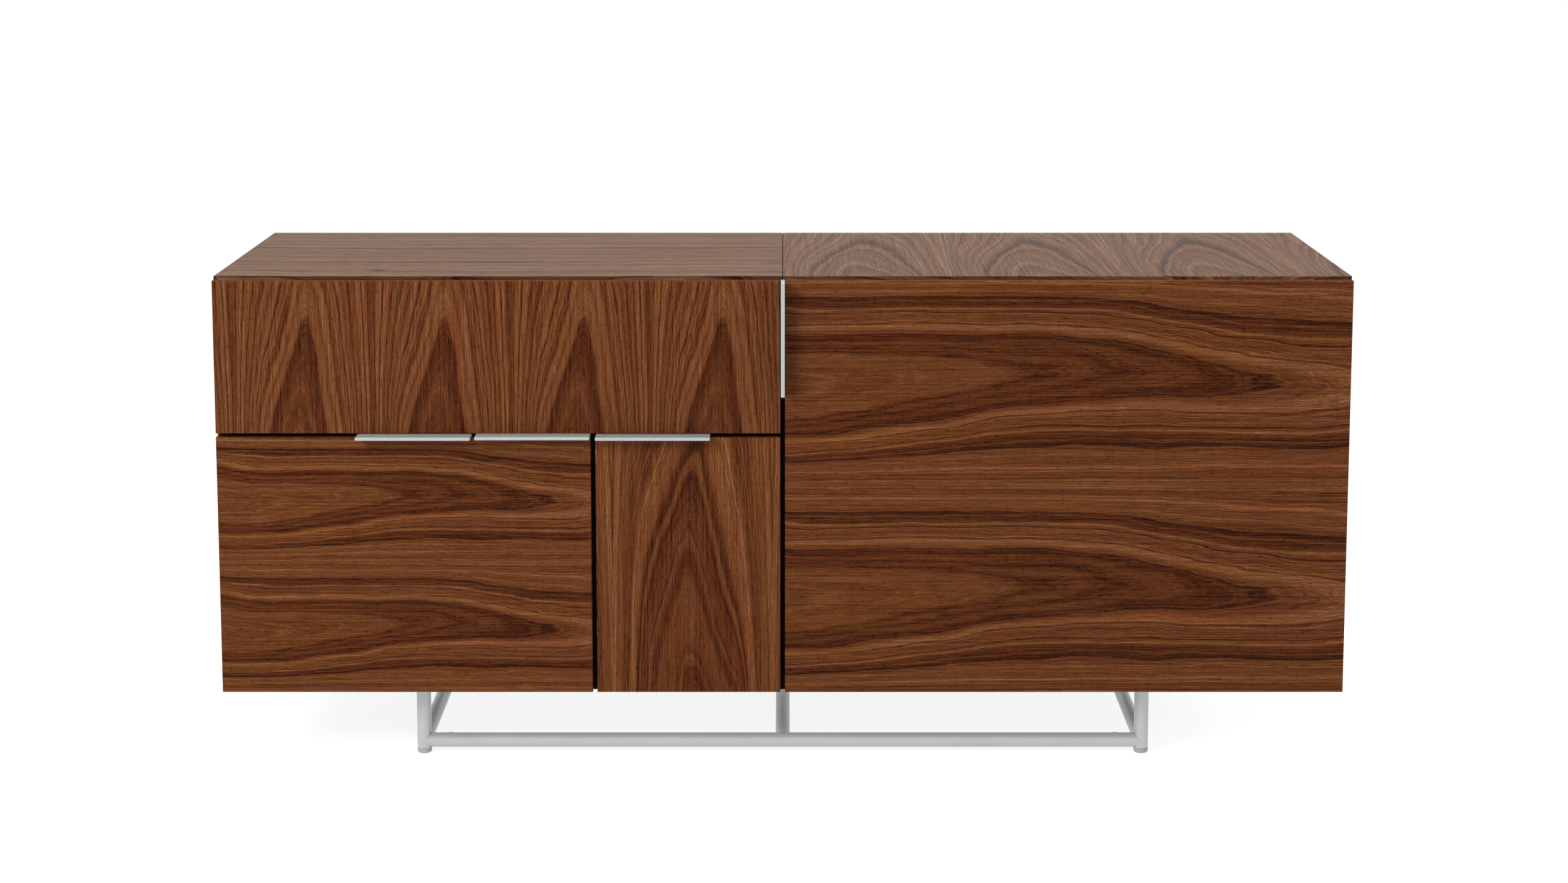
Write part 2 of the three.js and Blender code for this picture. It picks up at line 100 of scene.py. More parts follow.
FEATHERED = [
    (-1.0, 0.50), (0.80, 0.54), (1.00, 0.50), (1.12, 0.40), (1.30, 0.38), (1.40, 0.55), (1.48, 0.52),
    (1.58, 0.45), (1.72, 0.43), (1.80, 0.56), (1.90, 0.42), (2.04, 0.40), (2.12, 0.55), (2.22, 0.38),
    (2.40, 0.29), (2.60, 0.33), (2.75, 0.48), (2.90, 0.56), (3.10, 0.46), (3.30, 0.56), (3.55, 0.38),
    (3.80, 0.54), (4.10, 0.42), (4.50, 0.58), (5.0, 0.44), (6.0, 0.55), (8.0, 0.50),
]
STRAIGHT = [(-1.0, 0.50), (3.0, 0.52), (5.0, 0.48), (8.0, 0.50)]

# The ring of the main arch, the rings over which the calm heart ends, and the fine lines that follow the
# rings: how many to a ring, their noise's detail and roughness, their swing of tone and their seed's step
ARCH_RING = 2.27
HEART_ENDS = (1.9, 3.3)
RING_LINES = [
    (3.2, 2.5, 0.6, 0.8, 11.0),
    (10.0, 3.0, 0.7, 0.9, 5.0),
    (26.0, 2.0, 0.6, 0.8, 17.0),
]

# A leaf in leaf widths: where its arches turn into straight flanks, how much of their run the flanks keep,
# and how far the heart line swings, how fast, from where, and how far it drifts, with its noise's scales
LEAVES_BEFORE = 20
FLANK = (0.26, 0.50)
FLANK_RUN = 0.1
HEART_SWING = 0.037
HEART_TURN = 2.51
HEART_START = -0.25
HEART_DRIFT = 0.1
DRIFT_ACROSS = 3.0
DRIFT_SCALE = 1.3

# Streaks: how many along the grain and across it, their noise's detail and roughness, and their seed's step.
# Jags and hues are counted to a leaf width, fibres and pores to a metre.
JAGS = (3.0, 24.0, 3.0, 0.55, 3.1)
HUES = (0.7, 7.0, 2.0, 0.5, 8.0)
LONG_FIBRES = (3.4, 380.0, 3.0, 0.7, 1.0)
SHORT_FIBRES = (30.0, 620.0, 1.0, 0.7, 4.0)
PORES = (120.0, 900.0, 0.0, 0.5, 2.0)
LONG_FIBRE_TONE = 0.95
SHORT_FIBRE_TONE = 0.55
PORE_EDGE = (0.57, 0.75)
PORE_TONE = -0.20
PORE_RELIEF = -1.2

# Streaks lean to gold or to red, over these spans of their noise.
GOLD_SPAN = (0.50, 0.72)
GOLD = (1.04, 1.0, 0.80, 1.0)
RED_SPAN = (0.28, 0.48)
RED = (1.04, 0.92, 0.92, 1.0)

# How square a face stands to a direction, from not at all to fully, and for the end of a board
FACING = (0.6, 0.9)
BOARD_END = 0.8

# The mitres lie where the distance from the middle, less the height, is that of the top's outer corner.
MITRE_SKEW = 0.10
MITRE_LINE = (0.0004, 0.0012)
MITRE_SHADE = (0.08, 0.07, 0.07, 1.0)
# Near-black front edges of the bottom panel and the dark boards: black edging that also paints the shade in
# the gaps between the fronts
BLACK_EDGE_AND_GAP_SHADE = (0.05, 0.05, 0.06, 1.0)
STAINED_EDGE_AND_GAP_SHADE = (0.15, 0.15, 0.15, 1.0)

# Places of a mix node's sockets, which it lists for every kind of data at once
MIX_FACTOR = 0
MIX_NUMBERS = (2, 3)
MIX_COLOURS = (6, 7)
MIXED_NUMBER = 0
MIXED_COLOUR = 2


def linear(red, green, blue):
    """An 8-bit sRGB colour as linear values."""
    values = [c / 255 for c in (red, green, blue)]
    return tuple(c / 12.92 if c <= 0.04045 else ((c + 0.055) / 1.055) ** 2.4 for c in values)


class Graph:
    """The node tree of a material or a world, with one short call for each kind of node."""

    def __init__(self, owner):
        owner.use_nodes = True
        self.owner = owner
        self.tree = owner.node_tree
        self.tree.nodes.clear()

    def node(self, kind, inputs=(), **settings):
        node = self.tree.nodes.new(kind)
        for key, value in settings.items():
            setattr(node, key, value)
        for key, value in inputs.items() if isinstance(inputs, dict) else enumerate(inputs):
            if isinstance(value, bpy.types.NodeSocket):
                self.tree.links.new(value, node.inputs[key])
            else:
                node.inputs[key].default_value = value
        return node

    def place(self):
        return self.node("ShaderNodeTexCoord").outputs["Object"]

    def normal(self):
        return self.node("ShaderNodeTexCoord").outputs["Normal"]

    def math(self, operation, *values):
        return self.node("ShaderNodeMath", values, operation=operation).outputs[0]

    def affine(self, value, factor, offset):
        return self.math("MULTIPLY_ADD", value, factor, offset)

    def swing(self, noise, width):
        """A noise from 0 to 1 as a swing of this width round 0."""
        return self.affine(noise, width, -width / 2)

    def vector(self, x, y, z):
        return self.node("ShaderNodeCombineXYZ", (x, y, z)).outputs[0]

    def stretched(self, scales):
        """The place, scaled along each axis."""
        return self.node("ShaderNodeVectorMath", (self.place(), scales), operation="MULTIPLY").outputs[0]

    def dot(self, vector, direction):
        node = self.node("ShaderNodeVectorMath", (vector, direction), operation="DOT_PRODUCT")
        return node.outputs["Value"]

    def noise(self, vector, detail=2.0, roughness=0.5, scale=1.0):
        values = {"Vector": vector, "Scale": scale, "Detail": detail, "Roughness": roughness}
        return self.node("ShaderNodeTexNoise", values).outputs["Fac"]

    def ring_noise(self, ring, scale, detail, roughness):
        values = {"W": ring, "Scale": scale, "Detail": detail, "Roughness": roughness}
        return self.node("ShaderNodeTexNoise", values, noise_dimensions="1D").outputs["Fac"]

    def streaks(self, along, across, kind, seed):
        """Noise drawn out along the grain."""
        count_along, count_across, detail, roughness, step = kind
        along = self.math("MULTIPLY", along, count_along)
        across = self.math("MULTIPLY", across, count_across)
        return self.noise(self.vector(along, across, seed + step), detail, roughness)

    def smooth(self, value, low, high, at_low=0.0, at_high=1.0):
        values = {"Value": value, "From Min": low, "From Max": high, "To Min": at_low, "To Max": at_high}
        return self.node("ShaderNodeMapRange", values, interpolation_type="SMOOTHSTEP").outputs["Result"]

    def facing(self, direction):
        """1 on the faces that look in a direction, and 0 on the others."""
        return self.smooth(self.dot(self.normal(), direction), *FACING)

    def curve(self, value, stops):
        node = self.node("ShaderNodeFloatCurve", {"Value": value})
        points = node.mapping.curves[0].points
        points[0].location = stops[0]
        points[1].location = stops[-1]
        for x, y in stops[1:-1]:
            points.new(x, y)
        node.mapping.extend = "HORIZONTAL"
        node.mapping.update()
        return node.outputs[0]

    def ramp(self, value, stops):
        node = self.node("ShaderNodeValToRGB", (value,))
        elements = node.color_ramp.elements
        while len(elements) < len(stops):
            elements.new(0.5)
        for element, (place, colour) in zip(elements, stops):
            element.position = place
            element.color = (*colour, 1.0)
        return node.outputs["Color"]

    def either(self, switch, off, on):
        sockets = {MIX_FACTOR: switch, MIX_NUMBERS[0]: off, MIX_NUMBERS[1]: on}
        return self.node("ShaderNodeMix", sockets, data_type="FLOAT").outputs[MIXED_NUMBER]

    def blend(self, factor, colour, other, kind="MIX"):
        sockets = {MIX_FACTOR: factor, MIX_COLOURS[0]: colour, MIX_COLOURS[1]: other}
        node = self.node("ShaderNodeMix", sockets, data_type="RGBA", blend_type=kind)
        return node.outputs[MIXED_COLOUR]

    def multiply(self, factor, colour, other):
        return self.blend(factor, colour, other, "MULTIPLY")

    def bump(self, height, strength, distance):
        values = {"Height": height, "Strength": strength, "Distance": distance}
        return self.node("ShaderNodeBump", values).outputs["Normal"]

    def surface(self, **sockets):
        values = {key.replace("_", " "): value for key, value in sockets.items()}
        return self.finish(self.node("ShaderNodeBsdfPrincipled", values).outputs[0])

    def finish(self, shader):
        self.node("ShaderNodeOutputMaterial", (shader,))
        return self.owner


def material_graph(name):
    return Graph(bpy.data.materials.new(name))


def growth_rings(g, climb, aside, seed, arch, flat, lean, level, ragged):
    """Arches round a heart line that wanders. They straighten towards the leaf's edges."""
    inner = g.smooth(g.math("ABSOLUTE", aside), *FLANK, 1.0, 0.0)
    turn = g.math("COSINE", g.affine(climb, HEART_TURN, HEART_START))
    drift_at = g.vector(g.math("ADD", climb, seed), g.math("MULTIPLY", aside, DRIFT_ACROSS), seed)
    drift = g.swing(g.noise(drift_at, scale=DRIFT_SCALE), HEART_DRIFT)
    wander = g.math("ADD", g.math("MULTIPLY", turn, HEART_SWING), drift)
    off_heart = g.math("SUBTRACT", aside, g.math("MULTIPLY", wander, inner))
    rounded = g.math("SQRT", g.math("MULTIPLY_ADD", off_heart, off_heart, flat * flat))
    bow = g.math("MULTIPLY_ADD", off_heart, lean, g.affine(rounded, arch, -arch * flat))
    run = g.math("MULTIPLY", g.math("SUBTRACT", climb, level), g.affine(inner, 1 - FLANK_RUN, FLANK_RUN))
    jag = g.affine(g.streaks(climb, aside, JAGS, seed), ragged, level - ragged / 2)
    return g.math("ADD", g.math("ADD", bow, run), jag)


def ring_tone(g, ring, seed, rings, density, calm, contrast):
    """Bands of tone from ring to ring, and fine lines in them that are calmer in the heart."""
    low, high = rings[0][0], rings[-1][0]
    place = g.affine(ring, 1 / (high - low), -low / (high - low))
    bands = g.curve(place, [((x - low) / (high - low), y) for x, y in rings])
    lines = 0.0
    for count, detail, roughness, width, step in RING_LINES:
        line = g.ring_noise(g.math("ADD", ring, seed + step), count * density, detail, roughness)
        lines = g.math("ADD", g.swing(line, width), lines)
    late = g.math("MULTIPLY", lines, g.smooth(ring, *HEART_ENDS, calm, 1.0))
    return g.affine(g.math("ADD", bands, late), contrast, 0.5 - 0.5 * contrast)


def walnut(name, along, across, face, width, tip, heart, seed, rings=CATHEDRAL, arch=23.25, flat=0.25,
           lean=0.0, level=1.3, ragged=0.36, density=1.0, calm=0.38, contrast=1.0, roughness=0.43,
           gloss=0.05, tint=None, mitred=False, bottom=False):
    """Flat-sawn walnut veneer in slip-matched leaves, lacquered.

    along and across are the grain's directions, face is the show face's place through the board and width
    is a leaf's. tip is where the main arch ends along the grain, and heart is a leaf's heart line across it.
    rings is the tone of the growth rings, arch is how steep the arches are, flat how broad their crowns are
    and lean how far they lean to one side. Their flanks turn straight round the ring named level. ragged is
    how uneven the rings run, density is how close their fine lines are, and calm is how strong those lines
    are in the heart. gloss is the lacquer's, and tint multiplies the colour.
    mitred draws the dark lines where the top meets the sides. bottom blackens the front edge, a black edging
    that also paints the shade in the gaps between the fronts, and gives the underside a pale sheet whose
    paleness is painted bounce light from the floor. On the board's ends the edging's grain runs along the
    edge.
    """
    g = material_graph(name)
    at = g.place()
    depth = g.math("SUBTRACT", g.dot(at, Vector(along).cross(across)), face)
    end = g.math("GREATER_THAN", g.math("ABSOLUTE", g.dot(g.normal(), along)), BOARD_END)
    lengthways = g.dot(at, along)
    sideways = g.dot(at, across)
    along_grain = g.either(end, lengthways, sideways)
    over_grain = g.math("ADD", g.either(end, sideways, lengthways), depth)

    # The place on its own leaf, in leaf widths: up it from its foot, and aside from its middle.
    climb = g.affine(along_grain, 1 / width, ARCH_RING - tip / width)
    leaves = g.affine(over_grain, 1 / width, LEAVES_BEFORE + 0.5 - heart / width)
    aside = g.math("SUBTRACT", g.math("FRACT", leaves), 0.5)
    ring = growth_rings(g, climb, aside, seed, arch, flat, lean, level, ragged)

    long_fibre = g.swing(g.streaks(along_grain, over_grain, LONG_FIBRES, seed), LONG_FIBRE_TONE)
    short_fibre = g.swing(g.streaks(along_grain, over_grain, SHORT_FIBRES, seed), SHORT_FIBRE_TONE)
    fibre = g.math("ADD", long_fibre, short_fibre)
    pore = g.smooth(g.streaks(along_grain, over_grain, PORES, seed), *PORE_EDGE)
    streaked = g.math("MULTIPLY_ADD", pore, PORE_TONE, fibre)
    tone = g.math("ADD", ring_tone(g, ring, seed, rings, density, calm, contrast), streaked)
    colour = g.ramp(tone, [(stop, linear(*rgb)) for stop, rgb in WALNUT_TONES])

    hue = g.streaks(climb, leaves, HUES, seed)
    colour = g.multiply(g.smooth(hue, *GOLD_SPAN), colour, GOLD)
    colour = g.multiply(g.smooth(hue, *RED_SPAN, 1.0, 0.0), colour, RED)
    # On the tops the tint is partly painted sheen.
    if tint:
        colour = g.multiply(1.0, colour, (*tint, 1.0))
    if mitred:
        x, _, z = g.node("ShaderNodeSeparateXYZ", (at,)).outputs
        skew = g.math("SUBTRACT", g.math("ABSOLUTE", x), z)
        off_mitre = g.math("ABSOLUTE", g.math("SUBTRACT", skew, MITRE_SKEW))
        colour = g.multiply(g.smooth(off_mitre, *MITRE_LINE, 1.0, 0.0), colour, MITRE_SHADE)
    if bottom:
        # Black front edge: black edging, and painted shade for the gaps between the fronts
        colour = g.multiply(g.facing(FRONT), colour, BLACK_EDGE_AND_GAP_SHADE)
        # Pale underside: a sheet whose paleness is painted bounce light from the floor, seen in the rails and
        # lifting the shadow under the cabinet
        backing_and_painted_bounce = g.ramp(g.math("ADD", fibre, 0.5), [
            (0.2, linear(166, 165, 162)),
            (0.8, linear(186, 185, 182)),
        ])
        colour = g.blend(g.facing(DOWN), colour, backing_and_painted_bounce)
    return g.surface(
        Base_Color=colour,
        Roughness=g.affine(fibre, -0.10, roughness),
        Specular_IOR_Level=gloss,
        Normal=g.bump(g.math("MULTIPLY_ADD", pore, PORE_RELIEF, fibre), strength=0.12, distance=0.0004),
    )


def dark_board():
    """Dark stained board with a faint pressed grain, its front edges painted black; that black is also
    painted shade for the gaps between the fronts.
    """
    g = material_graph("dark_board")
    grain = g.noise(g.stretched((420.0, 24.0, 420.0)), detail=3.0, roughness=0.6)
    stain = g.ramp(grain, [(0.25, (0.012, 0.010, 0.009)), (0.75, (0.026, 0.022, 0.020))])
    # Front edges near black: a black edge stain, and painted shade for the gaps between the fronts
    return g.surface(
        Base_Color=g.multiply(g.facing(FRONT), stain, STAINED_EDGE_AND_GAP_SHADE),
        Roughness=g.affine(grain, 0.2, 0.6),
        Specular_IOR_Level=0.08,
        Normal=g.bump(grain, strength=0.1, distance=0.0003),
    )


def drawer_board(name, along, through=None):
    """Birch plywood with a soft grain along its length. Upright boards show their plies on their edges."""
    streaks_along, streaks_across = 9.0, 150.0
    two_plies = 0.0030
    g = material_graph(name)
    scales = [streaks_along if axis else streaks_across for axis in along]
    grain = g.noise(g.stretched(scales), detail=4.0, roughness=0.6)
    colour = g.ramp(grain, [
        (0.2, linear(176, 142, 100)),
        (0.5, linear(204, 172, 128)),
        (0.8, linear(222, 194, 152)),
    ])
    if through:
        ply = g.math("SINE", g.math("MULTIPLY", g.dot(g.place(), through), 2 * math.pi / two_plies))
        plies = g.ramp(ply, [(0.35, linear(206, 176, 134)), (0.65, linear(148, 112, 74))])
        edge = g.math("ADD", g.facing(Z), g.facing(DOWN))
        colour = g.blend(edge, colour, plies)
    return g.surface(
        Base_Color=colour,
        Roughness=g.affine(grain, 0.2, 0.42),
        Normal=g.bump(grain, strength=0.08, distance=0.0003),
    )


def brushed_aluminium(name, along):
    """Satin anodised aluminium, brushed along its length."""
    strokes_along, strokes_across = 40.0, 2600.0
    g = material_graph(name)
    scales = [strokes_along if axis else strokes_across for axis in along]
    brush = g.noise(g.stretched(scales), detail=3.0, roughness=0.65)
    return g.surface(
        Base_Color=g.ramp(brush, [(0.2, linear(164, 166, 166)), (0.8, linear(186, 188, 188))]),
        Metallic=0.15,
        Roughness=g.affine(brush, 0.2, 0.36),
        Normal=g.bump(brush, strength=0.06, distance=0.0002),
    )


def silver_tube():
    """Silver powder coat with a fine metal flake."""
    g = material_graph("silver_tube")
    flake = g.noise(g.place(), detail=1.0, scale=2600.0)
    cloud = g.noise(g.place(), detail=2.0, scale=14.0)
    level = g.math("MULTIPLY_ADD", cloud, 0.3, g.math("MULTIPLY", flake, 0.7))
    return g.surface(
        Base_Color=g.ramp(level, [(0.25, linear(176, 177, 178)), (0.75, linear(198, 199, 200))]),
        Metallic=0.4,
        Roughness=g.affine(flake, 0.10, 0.34),
        Normal=g.bump(flake, strength=0.05, distance=0.0002),
    )


def zinc_steel():
    """Zinc-plated steel with a faint cloudy passivation."""
    g = material_graph("zinc_steel")
    cloud = g.noise(g.place(), detail=3.0, roughness=0.6, scale=60.0)
    grit = g.noise(g.place(), detail=2.0, scale=900.0)
    colour = g.ramp(cloud, [
        (0.25, linear(158, 162, 168)),
        (0.55, linear(184, 187, 190)),
        (0.80, linear(198, 198, 194)),
    ])
    return g.surface(
        Base_Color=colour,
        Metallic=0.7,
        Roughness=g.affine(cloud, 0.24, 0.22),
        Normal=g.bump(grit, strength=0.04, distance=0.0002),
    )


def grey_plastic():
    """Moulded grey plastic with a fine spark-eroded texture."""
    g = material_graph("grey_plastic")
    grit = g.noise(g.place(), detail=2.0, roughness=0.6, scale=1800.0)
    return g.surface(
        Base_Color=g.ramp(grit, [(0.2, linear(150, 152, 154)), (0.8, linear(176, 177, 178))]),
        Roughness=g.affine(grit, 0.2, 0.44),
        Normal=g.bump(grit, strength=0.12, distance=0.0003),
    )


def clear_rubber():
    """Soft bumper rubber, milky and slightly dusty."""
    g = material_graph("clear_rubber")
    dust = g.noise(g.place(), detail=2.0, scale=1200.0)
    return g.surface(
        Base_Color=g.ramp(dust, [(0.2, linear(150, 150, 148)), (0.8, linear(182, 182, 180))]),
        Roughness=g.affine(dust, 0.2, 0.5),
    )


def wear(names, material):
    """Gives CAD nodes their finished material."""
    for name in names:
        slots = nodes[name].data.materials
        slots.clear()
        slots.append(material)


def wear_where(part_of_name, material):
    """Gives the same material to every CAD node with these words in its name."""
    wear([name for name in nodes if part_of_name in name], material)


# Each board's veneer, by the arguments of walnut. Both tops have a duller lacquer and a paler, cooler tint.
# The tint is partly the veneer's cooler tone and partly painted sheen: it puts into the colour some of the
# grey sheen that the duller lacquer no longer reflects.
FRONT_FACE = -0.266
TOP_LOOK_WITH_PAINTED_SHEEN = dict(roughness=0.41, gloss=0.032, tint=(1.0, 1.38, 1.9), mitred=True)
VENEERS = {
    "right_door_front": dict(
        along=X, across=DOWN, face=FRONT_FACE, width=0.3266, tip=0.706, heart=-0.600, seed=0.0),
    "file_drawer_front": dict(
        along=X, across=DOWN, face=FRONT_FACE, width=0.1985, tip=-0.363, heart=-0.417, seed=0.0),
    "top_drawer_front": dict(
        along=Z, across=X, face=FRONT_FACE, width=0.2074, tip=0.6745, heart=-0.717, seed=0.0,
        rings=POINTED, arch=5.2, flat=0.06, level=2.55, ragged=0.14, density=1.4, tint=(1.06, 1.09, 1.16)),
    "centre_door_front": dict(
        along=Z, across=X, face=FRONT_FACE, width=0.2407, tip=0.5083, heart=-0.1361, seed=4.0,
        rings=NESTED, arch=3.9, flat=0.05, level=2.2, ragged=0.1, density=2.4),
    "top_panel_left": dict(
        along=X, across=Y, face=0.75, width=1.36, tip=4.0, heart=-0.386, seed=2.0,
        rings=STRAIGHT, arch=40.0, ragged=1.6, density=0.5, calm=1.0, contrast=1.2, **TOP_LOOK_WITH_PAINTED_SHEEN),
    "top_panel_right": dict(
        along=Y, across=X, face=-0.75, width=0.265, tip=0.12, heart=0.114, seed=6.0,
        rings=FEATHERED, arch=6.2, flat=0.10, lean=-1.8, level=2.9, ragged=0.22, density=1.6, calm=0.9,
        contrast=1.15, **TOP_LOOK_WITH_PAINTED_SHEEN),
    "side_panel_left": dict(
        along=Z, across=Y, face=0.85, width=0.30, tip=0.62, heart=0.02, seed=9.0, mitred=True),
    "side_panel_right": dict(
        along=Y, across=DOWN, face=-0.85, width=0.3266, tip=0.16, heart=-0.591, seed=1.0, mitred=True),
    "bottom_panel": dict(
        along=X, across=Y, face=0.1155, width=0.80, tip=2.4, heart=0.5, seed=3.0, bottom=True),
    "back_panel": dict(
        along=Z, across=X, face=0.28, width=0.34, tip=0.55, heart=0.0, seed=5.0),
}
for board_name, leaf in VENEERS.items():
    wear([board_name], walnut(f"walnut_{board_name}", **leaf))

zinc = zinc_steel()
plastic = grey_plastic()
rubber = clear_rubber()
board = dark_board()
tube = silver_tube()
wear(["centre_partition", "left_partition", "drawer_divider", "right_shelf"], board)
wear_where("_drawer_side", drawer_board("drawer_side_board", along=Y, through=X))
wear_where("_drawer_back", drawer_board("drawer_back_board", along=X, through=Y))
wear_where("_drawer_bottom", drawer_board("drawer_bottom_board", along=X))
level_pulls = ["top_drawer_pull", "file_drawer_pull", "centre_door_pull"]
wear(level_pulls, brushed_aluminium("aluminium_bar_level", along=X))
wear(["right_door_pull"], brushed_aluminium("aluminium_bar_upright", along=Z))
wear_where("base_", tube)
wear_where("leg_", tube)
wear_where("_runner_", zinc)
wear_where("_hinge_", zinc)
wear_where("glide_", plastic)

# Sizes of the small pieces: radius and height of heads, plugs and bumpers, and places from edges
SEGMENTS = 24
CROSS_ARMS = 4
PLATE_SCREW = (0.0042, 0.0022)
ARM_SCREW = (0.0033, 0.0014)
CUP_SCREW = (0.0033, 0.0012)
PULL_SCREW = (0.0034, 0.0004)
BUMPER = (0.0024, 0.0008)
PLUG = (0.0065, 0.0017)
PLUG_NARROWING = 0.36
PLUG_SINK = 0.0006
PLUG_ASIDE = 0.5136
PLATE_SCREW_ASIDE = 0.021
PLATE_THICKNESS = 0.004
INLAY_WIDTH = 0.0013
INLAY_HEIGHT = 0.0048
INLAY_FLOOR = 0.0059
INLAY_SHORTENING = 0.001
PIN_ROWS = (-0.16, 0.21)
PIN_UNDER_SHELF = 0.0026
ARM_PLATE_SCREWS = 0.018
ARM_PLATE_SCREW_BACK = 0.017
ARM_PLATE_THICKNESS = 0.002
ARM_BAR_SCREWS = (0.016, 0.040)
ARM_BAR_HEIGHT = 0.013
CUP_SCREWS_ASIDE = 0.0245
CUP_SCREWS_FROM_EDGE = 0.032
BUMPER_FROM_SIDE = 0.0027
BUMPER_FROM_FOOT = 0.009
BUMPER_FROM_HEAD = 0.010
PULL_SCREW_FROM_END = 0.03
PULL_SCREW_FROM_BACK = 0.008


def turned(outline):
    """Vertices and faces of a closed body turned round +Z. Each radius is a number, or one per segment."""
    rings = []
    vertices = []
    faces = []
    for radius, height in outline:
        radii = radius if isinstance(radius, list) else [radius] * SEGMENTS
        if max(radii) == 0:
            rings.append([len(vertices)] * SEGMENTS)
            vertices.append((0.0, 0.0, height))
            continue
        rings.append(list(range(len(vertices), len(vertices) + SEGMENTS)))
        for k, r in enumerate(radii):
            turn = 2 * math.pi * k / SEGMENTS
            vertices.append((r * math.cos(turn), r * math.sin(turn), height))
    for lower, upper in zip(rings, rings[1:]):
        for k in range(SEGMENTS):
            j = (k + 1) % SEGMENTS
            corners = [lower[k], lower[j], upper[j], upper[k]]
            faces.append(list(dict.fromkeys(corners)))
    return vertices, faces


def screw_head(radius, height):
    """A low pan head with a cross recess."""
    per_arm = SEGMENTS // CROSS_ARMS
    cross = [radius * (0.52 if k % per_arm == 0 else 0.17) for k in range(SEGMENTS)]
    return turned([
        (0.0, 0.0),
        (radius, 0.0),
        (radius, height * 0.35),
        (radius * 0.86, height * 0.8),
        (radius * 0.64, height),
        (cross, height),
        ([c * 0.8 for c in cross], height * 0.3),
        (0.0, height * 0.25),
    ])


def dome(radius, height):
    """A low rounded button."""
    return turned([
        (0.0, 0.0),
        (radius, 0.0),
        (radius * 0.94, height * 0.5),
        (radius * 0.7, height * 0.86),
        (radius * 0.3, height),
        (0.0, height),
    ])


def oval_plug():
    """A low oval plug, long along X."""
    vertices, faces = dome(*PLUG)
    return [(x, PLUG_NARROWING * y, z) for x, y, z in vertices], faces


def shelf_pin():
    """A collar against the panel and a peg under the shelf."""
    return turned([
        (0.0, 0.0),
        (0.0045, 0.0),
        (0.0045, 0.0012),
        (0.0025, 0.0016),
        (0.0025, 0.0090),
        (0.0019, 0.0098),
        (0.0, 0.0098),
    ])


def inlay(width, length, height):
    """Vertices and faces of a strip along Y on the middle of its floor, crowned along the top."""
    outline = [(-0.5, 0.0), (0.5, 0.0), (0.5, 0.85), (0.3, 1.0), (-0.3, 1.0), (-0.5, 0.85)]
    count = len(outline)
    vertices = [(x * width, y, z * height) for y in (-length / 2, length / 2) for x, z in outline]
    faces = [[k, (k + 1) % count, count + (k + 1) % count, count + k] for k in range(count)]
    return vertices, faces + [list(range(count)), list(range(count, 2 * count))]


def piece(name, body, material, shape, places):
    """One piece of several copies of a shape. Each copy stands at a point, with its +Z along a direction."""
    vertices, faces = shape
    mesh = bpy.data.meshes.new(name)
    bm = bmesh.new()
    for point, direction in places:
        turn = Vector(direction).to_track_quat("Z", "Y").to_matrix().to_4x4()
        matrix = Matrix.Translation(point) @ turn
        copies = [bm.verts.new(matrix @ Vector(v)) for v in vertices]
        for face in faces:
            bm.faces.new([copies[i] for i in face])
    bmesh.ops.recalc_face_normals(bm, faces=bm.faces)
    bm.to_mesh(mesh)
    bm.free()
    mesh.materials.append(material)
    made = bpy.data.objects.new(name, mesh)
    bpy.context.scene.collection.objects.link(made)
    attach(made, body)


def add_base_pieces():
    """Screws in the plate on top of each leg, and plugs on top of the front rail."""
    places = []
    for leg in ("front_left", "front_right", "rear_left", "rear_right"):
        low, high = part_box(f"leg_{leg}")
        middle = (low + high) / 2
        for dx in (-PLATE_SCREW_ASIDE, PLATE_SCREW_ASIDE):
            for dy in (-PLATE_SCREW_ASIDE, PLATE_SCREW_ASIDE):
                places.append(((middle.x + dx, middle.y + dy, high.z - PLATE_THICKNESS), DOWN))
    piece("leg_plate_screws", "carcass", zinc, screw_head(*PLATE_SCREW), places)

    low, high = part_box("base_front_rail")
    middle = (low + high) / 2
    places = [((x, middle.y, high.z - PLUG_SINK), Z) for x in (-PLUG_ASIDE, PLUG_ASIDE)]
    piece("front_rail_plugs", "carcass", tube, oval_plug(), places)


def add_carcass_pieces():
    """A dark inlay in the seam between the tops, partly a real inlay and partly painted shade of the seam's
    groove, and the pins that carry the shelf.
    """
    # The inlay is dark board: painted shade that keeps the seam black
    low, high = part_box("top_panel_left")
    seat = (0.0, (low.y + high.y) / 2, high.z - INLAY_FLOOR)
    strip = inlay(INLAY_WIDTH, high.y - low.y - INLAY_SHORTENING, INLAY_HEIGHT)
    piece("top_seam_inlay", "carcass", board, strip, [(seat, Z)])

    partition_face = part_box("centre_partition")[1].x
    panel_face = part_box("side_panel_right")[0].x
    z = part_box("right_shelf")[0].z - PIN_UNDER_SHELF
    places = []
    for y in PIN_ROWS:
        places.append(((partition_face, y, z), X))
        places.append(((panel_face, y, z), LEFT))
    piece("shelf_pins", "carcass", zinc, shelf_pin(), places)


